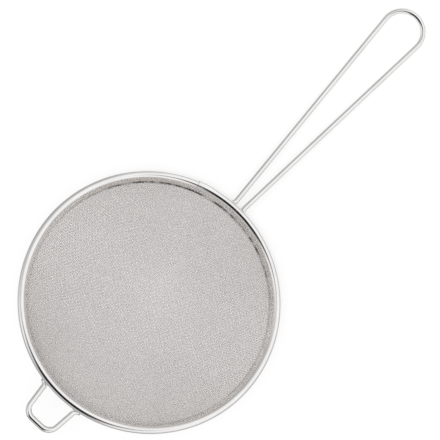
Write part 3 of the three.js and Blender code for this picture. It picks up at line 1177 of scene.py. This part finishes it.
@dataclass
class WeldBead:
    """A short rippled bead of weld metal."""

    name: str
    length: float
    middle: Vector
    heading: Vector
    radius: float = 0.9 * MM
    sides: int = 14
    stations: int = 26
    ripples: int = 6
    ripple_depth: float = 0.09
    edge_crease: float = math.radians(60)

    def build(self) -> bpy.types.Object:
        """Draws the bead out of a small round section, ring by ring.

        Returns:
            The finished piece.
        """
        heading = self.heading.normalized()
        reach = self.length / 2 + self.radius
        turn = heading.to_track_quat("Z", "Y").to_euler()
        start = self.middle - heading * reach * math.cos(math.pi / self.stations)
        piece = Bench.start_ring(self.name, self._width(1), self.sides, start, turn, fill="NGON")
        for station in range(2, self.stations):
            before, now = (-reach * math.cos(math.pi * s / self.stations) for s in (station - 1, station))
            Bench.extrude(heading * (now - before))
            grow = self._width(station) / self._width(station - 1)
            bpy.ops.transform.resize(value=(grow, grow, grow), center_override=self.middle + heading * now)
        bpy.ops.mesh.select_all(action="SELECT")
        bpy.ops.mesh.normals_make_consistent(inside=False)
        Bench.leave_edit(piece, self.edge_crease)
        REST.lay_down(piece)
        return piece

    def _width(self, station: int) -> float:
        """Gives the bead's radius at a station.

        Args:
            station: Number of the ring from the bead's start.

        Returns:
            The radius there, with the ripples that the weld pool leaves.
        """
        reach = self.length / 2 + self.radius
        place = -reach * math.cos(math.pi * station / self.stations)
        past = max(abs(place) - self.length / 2, 0.0)
        ripple = math.cos(2 * math.pi * self.ripples * place / (2 * reach))
        return math.sqrt(self.radius**2 - past**2) * (1 - self.ripple_depth * (0.5 + 0.5 * ripple))


@dataclass
class Welds:
    """All weld beads: two under each handle foot, one under each hook foot and one on the strip's seam."""

    handle: BentWire
    hook: BentWire
    radius: float = 0.9 * MM
    foot_length: float = 5 * MM
    hook_length: float = 3 * MM
    seam_length: float = 2.4 * MM
    end_margin: float = math.radians(2.5)

    @property
    def outward(self) -> float:
        """Distance of a bead's middle from the middle of the cloth."""
        return PROFILE.leg_offset + PROFILE.strip_thickness / 2 + PROFILE.fit_gap + self.radius

    def build(self) -> dict[str, bpy.types.Object]:
        """Models the beads.

        Returns:
            The finished pieces by the names of the solids that they replace.
        """
        beads: dict[str, bpy.types.Object] = {}
        handle_bend = math.atan2(
            self.handle.root_spacing / 2 + self.handle.foot_bend_radius, self.handle.foot_radius
        )
        for side, sign, foot_angle in (
            ("left", 1, self.handle.left_foot_angle),
            ("right", -1, self.handle.right_foot_angle),
        ):
            ends = {"inner": handle_bend + self.end_margin, "outer": foot_angle - self.end_margin}
            for place, angle in ends.items():
                bead = self._under_foot(self.handle, self.foot_length, sign * angle, f"bead_{place}_{side}")
                beads[f"handle_weld_{side}_{place}"] = bead
        for side, sign in (("left", -1), ("right", 1)):
            angle = math.pi + sign * (self.hook.left_foot_angle - self.end_margin / 2)
            bead = self._under_foot(self.hook, self.hook_length, angle, f"bead_hook_{side}")
            beads[f"hook_weld_{side}"] = bead
        beads["seam_weld"] = self._on_seam()
        return beads

    def _under_foot(self, wire: BentWire, length: float, azimuth: float, name: str) -> bpy.types.Object:
        """Models a bead in the groove below a foot.

        Args:
            wire: The wire whose foot is welded.
            length: The bead's length.
            azimuth: Its angle around the bowl's axis.
            name: Its name.

        Returns:
            The finished piece.
        """
        along, outward = PROFILE.groove(wire.diameter / 2)
        reach = wire.diameter / 2 + PROFILE.fit_gap + self.radius
        bead_along = along + math.sqrt(reach**2 - (outward - self.outward) ** 2)
        middle = PROFILE.place(azimuth, bead_along, self.outward)
        heading = Vector((-math.sin(azimuth), math.cos(azimuth), 0))
        return WeldBead(name, length, middle, heading, self.radius).build()

    def _on_seam(self) -> bpy.types.Object:
        """Models the bead that closes the strip's seam.

        Returns:
            The finished piece.
        """
        azimuth = RimStrip().seam_azimuth
        middle = PROFILE.place(azimuth, PROFILE.bead_radius + PROFILE.leg_length / 2, self.outward)
        heading = PROFILE.place(azimuth, 1, 0) - PROFILE.place(azimuth, 0, 0)
        return WeldBead("bead_seam", self.seam_length, middle, heading, self.radius, ripples=3).build()


@dataclass
class Studio:
    """The pale table, the soft light and the camera."""

    camera_turn: float = math.radians(-46.9)
    camera_x: float = 65.0 * MM
    camera_y: float = 3.1 * MM
    camera_over_rim: float = 1400 * MM
    sensor: float = 36.0
    pixels_per_mm: float = 1.478
    floor_half: float = 270 * MM
    floor_drop: float = 0.11 * MM
    floor_level: float = 0.16
    # a painted shadow under the bowl: how dark, where its middle is and where it fades
    shade_level: float = 0.6
    shade_centre: float = -10 * MM
    shade_inner: float = 84 * MM
    shade_outer: float = 94 * MM
    sky_on_floor: float = 0.22
    lamp_on_floor: float = 0.78
    lamp_angle: float = math.radians(20)
    card_near: tuple[float, float] = (-0.13, -0.03)
    card_far: tuple[float, float] = (0.95, 0.78)
    card_side: tuple[float, float] = (0.5, 0.18)
    card_level: float = 0.02
    grey_azimuth: float = math.radians(72)
    grey_height: float = math.radians(33)
    grey_inner: float = math.radians(8)
    grey_outer: float = math.radians(50)
    grey_level: float = 0.56
    horizon_level: float = 0.45
    horizon_rise: float = 0.55

    def build(self) -> None:
        """Sets up the table, the light and the camera."""
        self._floor()
        self._sky()
        self._lamp()
        self._camera()
        bpy.context.scene.view_settings.view_transform = "Standard"
        # the noise clean-up would take the fine weave for noise and wash it out
        bpy.context.scene.cycles.use_denoising = False

    def _floor(self) -> None:
        """Lays a pale table top under the strainer that keeps its soft shadow, with a painted shadow under
        the bowl.
        """
        bpy.ops.object.select_all(action="DESELECT")
        bpy.ops.mesh.primitive_plane_add(
            size=2 * self.floor_half, location=(self.camera_x, self.camera_y, -self.floor_drop)
        )
        bpy.ops.object.transform_apply(location=True, rotation=True, scale=True)
        floor = bpy.context.object
        floor.name = "table_top"
        material = bpy.data.materials.new("pale_table")
        craft = NodeCraft.clean(material)
        path = craft.add("ShaderNodeLightPath").outputs
        seen = craft.math("MAXIMUM", path["Is Camera Ray"], path["Is Glossy Ray"])
        seen = craft.math("MAXIMUM", seen, path["Is Transmission Ray"])
        # painted shadow: the table is painted darker under the bowl, down to shade_level
        place = craft.add("ShaderNodeTexCoord").outputs["Object"]
        centred = craft.add("ShaderNodeMapping", {"Vector": place, "Location": (-self.shade_centre, 0, 0)})
        reach = craft.measure("LENGTH", centred.outputs[0])
        tone = craft.remap(reach, self.shade_inner, self.shade_outer, self.shade_level, 1.0, soft=True)
        looks = {
            "Base Color": craft.mix(craft.product(tone, self.floor_level), BLACK, WHITE),
            "Roughness": 1.0,
            "Specular IOR Level": 0.0,
            "Emission Color": WHITE,
            "Emission Strength": craft.product(seen, tone, 1.0 - self.floor_level),
        }
        surface = craft.add("ShaderNodeBsdfPrincipled", looks)
        craft.add("ShaderNodeOutputMaterial", {"Surface": surface.outputs["BSDF"]})
        floor.data.materials.append(material)

    def _sky(self) -> None:
        """Surrounds the strainer with a white room that has a grey side and a black card over the hook."""
        world = bpy.data.worlds.new("soft_white_room")
        bpy.context.scene.world = world
        craft = NodeCraft.clean(world)
        way = craft.add("ShaderNodeTexCoord").outputs["Generated"]
        path = craft.add("ShaderNodeLightPath").outputs
        level = math.cos(self.grey_height)
        grey = (
            level * math.cos(self.grey_azimuth),
            level * math.sin(self.grey_azimuth),
            math.sin(self.grey_height),
        )
        to_grey, to_hook, to_side, up = (
            craft.measure("DOT_PRODUCT", way, axis) for axis in (grey, (-1, 0, 0), (0, 1, 0), (0, 0, 1))
        )
        edge, full = math.cos(self.grey_outer), math.cos(self.grey_inner)
        room = craft.product(
            craft.remap(to_grey, edge, full, 1.0, self.grey_level, soft=True),
            craft.remap(up, 0.0, self.horizon_rise, self.horizon_level, 1.0),
        )
        on_card = craft.product(
            craft.remap(to_hook, *self.card_near, soft=True),
            craft.remap(to_hook, *self.card_far, soft=True),
            craft.remap(craft.math("ABSOLUTE", to_side), *self.card_side, soft=True),
        )
        room = craft.remap(on_card, 0.0, 1.0, room, self.card_level)
        room = craft.remap(path["Is Diffuse Ray"], 0.0, 1.0, room, self.sky_on_floor)
        room = craft.remap(path["Is Camera Ray"], 0.0, 1.0, room, 1.0)
        background = craft.add("ShaderNodeBackground", {"Color": WHITE, "Strength": room})
        craft.add("ShaderNodeOutputWorld", {"Surface": background.outputs[0]})

    def _lamp(self) -> None:
        """Adds a soft lamp overhead that the polished steel doesn't mirror."""
        bpy.ops.object.select_all(action="DESELECT")
        bpy.ops.object.light_add(type="SUN", location=(0, 0, 2))
        lamp = bpy.context.object
        lamp.name = "overhead_lamp"
        lamp.data.energy = math.pi * self.lamp_on_floor
        lamp.data.angle = self.lamp_angle
        lamp.visible_glossy = False

    def _camera(self) -> None:
        """Sets the camera straight over the strainer, turned as in the photograph."""
        data = bpy.data.cameras.new("overhead_camera")
        data.sensor_width = self.sensor
        data.sensor_fit = "HORIZONTAL"
        picture_width = PHOTO_PIXELS / self.pixels_per_mm * MM
        data.lens = self.sensor * self.camera_over_rim / picture_width
        data.clip_end = 20.0
        camera = bpy.data.objects.new("overhead_camera", data)
        camera.location = (self.camera_x, self.camera_y, REST.offset.z + self.camera_over_rim)
        camera.rotation_euler = (0, 0, self.camera_turn)
        bpy.context.scene.collection.objects.link(camera)
        bpy.context.scene.camera = camera


def finish_piece(piece: bpy.types.Object, finish: SteelFinish, *nodes: str) -> None:
    """Dresses a piece, hangs it on the part's body and lets it stand for its solids.

    Args:
        piece: The finished mesh.
        finish: Its steel.
        nodes: The solids that it replaces.
    """
    finish.dress(piece)
    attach(piece, BODY)
    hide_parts(*nodes)
    LOG.info("%s: %d faces, for %s", piece.name, len(piece.data.polygons), ", ".join(nodes))


def make_handle() -> BentWire:
    """Gives the handle its sizes: two legs and a round loop, with its end turned up.

    Returns:
        The handle, ready to build.
    """
    diameter = REST.handle_diameter
    loop_radius = 14.8 * MM
    end_length = 37 * MM
    return BentWire(
        name="loop_handle",
        diameter=diameter,
        foot_bend_radius=5 * MM,
        root_spacing=7.8 * MM,
        left_foot_angle=math.radians(19),
        right_foot_angle=math.radians(33.5),
        corner_reach=REST.bend_distance + end_length - diameter / 2 - loop_radius,
        corner_radius=loop_radius,
        end_bend=True,
    )


def make_hook() -> BentWire:
    """Gives the rest hook its sizes: a short bow with a straight crossbar, opposite the handle.

    Returns:
        The hook, ready to build.
    """
    diameter = 4.2 * MM
    reach = 23.7 * MM
    corner_radius = 7.5 * MM
    return BentWire(
        name="rest_hook",
        diameter=diameter,
        foot_bend_radius=4.5 * MM,
        root_spacing=26 * MM,
        left_foot_angle=math.radians(11.4),
        right_foot_angle=math.radians(11.4),
        corner_reach=PROFILE.outer_diameter / 2 + reach - diameter / 2 - corner_radius,
        corner_radius=corner_radius,
        corner_spacing=8.5 * MM,
        azimuth=math.pi,
    )


def main() -> None:
    """Builds the strainer piece by piece, then the studio around it."""
    logging.basicConfig(level=logging.INFO, format="%(name)s: %(message)s")
    for family, pieces in WireCloth().build().items():
        for piece in pieces:
            finish_piece(piece, CLOTH_STEEL[family], "mesh_bowl")
    finish_piece(RimStrip().build(), STRIP_STEEL, "rim_band")
    handle, hook = make_handle(), make_hook()
    finish_piece(handle.build(), WIRE_STEEL, "handle_wire")
    finish_piece(hook.build(), WIRE_STEEL, "rest_hook_wire")
    for node, bead in Welds(handle, hook).build().items():
        finish_piece(bead, WELD_STEEL, node)
    HOOP_STEEL.dress(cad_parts["rim_hoop_wire"])
    Studio().build()


if __name__ == "__main__":
    main()
